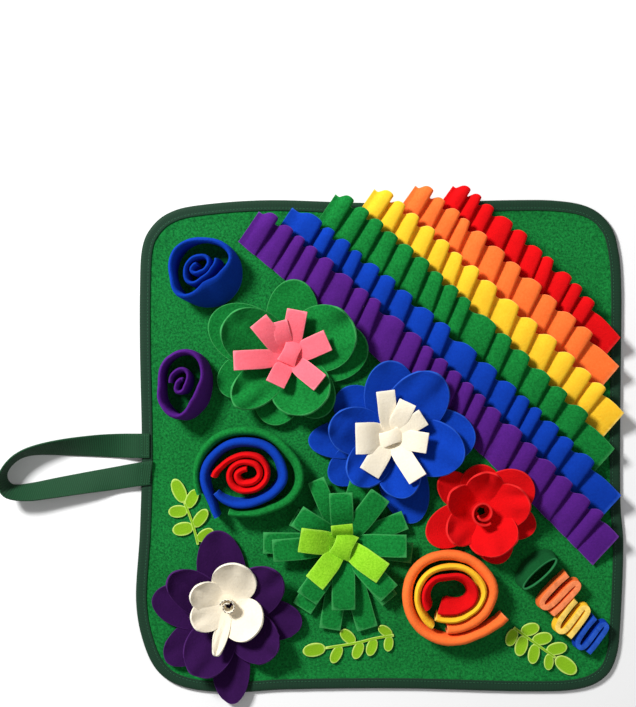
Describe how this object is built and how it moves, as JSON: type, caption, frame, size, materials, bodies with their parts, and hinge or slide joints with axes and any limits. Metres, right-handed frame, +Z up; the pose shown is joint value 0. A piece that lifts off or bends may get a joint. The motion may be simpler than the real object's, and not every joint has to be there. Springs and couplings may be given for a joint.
{
  "type": "snuffle mat",
  "caption": "square fleece foraging mat with bound edge, side webbing handle, diagonal pleated ruffles, rolled and petalled cloth flowers, knotted strips, folded pockets and leaf sprays",
  "frame": {"origin": "middle of the mat, on its flat underside", "axes": "+X to the right as the picture shows the mat, the handle pointing to -X; +Y to the edge that the ruffles run up to; +Z up, out of the mat"},
  "size_m": [0.6393, 0.5274, 0.0373],
  "materials": {
    "ground_fleece": "short napped mid green fleece",
    "binding_tape": "smooth dark green woven tape",
    "webbing": "dark green ribbed webbing",
    "purple_fleece": "napped purple fleece",
    "blue_fleece": "napped royal blue fleece",
    "leaf_green_fleece": "napped green fleece",
    "yellow_fleece": "napped yellow fleece",
    "orange_fleece": "napped orange fleece",
    "red_fleece": "napped red fleece",
    "pink_fleece": "napped pink fleece",
    "cream_fleece": "napped cream white fleece",
    "dark_purple_fleece": "napped dark purple fleece",
    "lime_fleece": "napped lime green fleece",
    "bottle_green_fleece": "napped bottle green fleece",
    "lime_felt": "thin pressed yellow green felt"
  },
  "bodies": {
    "root": {"mat_panel": "ground_fleece", "edge_binding": "binding_tape", "handle_webbing": "webbing", "ruffle_purple": "purple_fleece", "ruffle_blue": "blue_fleece", "ruffle_green": "leaf_green_fleece", "ruffle_yellow": "yellow_fleece", "ruffle_orange": "orange_fleece", "ruffle_red": "red_fleece", "green_petals_lower": "leaf_green_fleece", "green_petals_upper": "leaf_green_fleece", "pink_strips": "pink_fleece", "blue_petals_lower": "blue_fleece", "blue_petals_upper": "blue_fleece", "white_strips": "cream_fleece", "rose_petals_lower": "red_fleece", "rose_petals_upper": "red_fleece", "rose_heart": "red_fleece", "purple_petals_lower": "dark_purple_fleece", "purple_petals_upper": "dark_purple_fleece", "cream_petals": "cream_fleece", "cream_heart": "cream_fleece", "fringe_lower": "leaf_green_fleece", "fringe_upper": "leaf_green_fleece", "lime_strips": "lime_fleece", "roll_green_outer": "leaf_green_fleece", "roll_blue_middle": "blue_fleece", "roll_red_inner": "red_fleece", "roll_orange_outer": "orange_fleece", "roll_yellow_middle": "yellow_fleece", "roll_red_core": "red_fleece", "rosette_blue_cup": "blue_fleece", "rosette_blue_core": "blue_fleece", "rosette_purple_cup": "purple_fleece", "rosette_purple_core": "purple_fleece", "pocket_green": "bottle_green_fleece", "pocket_orange": "orange_fleece", "pocket_yellow": "yellow_fleece", "pocket_blue": "blue_fleece", "leaf_spray_left": "lime_felt", "leaf_spray_middle": "lime_felt", "leaf_spray_right": "lime_felt"}
  },
  "joints": []
}
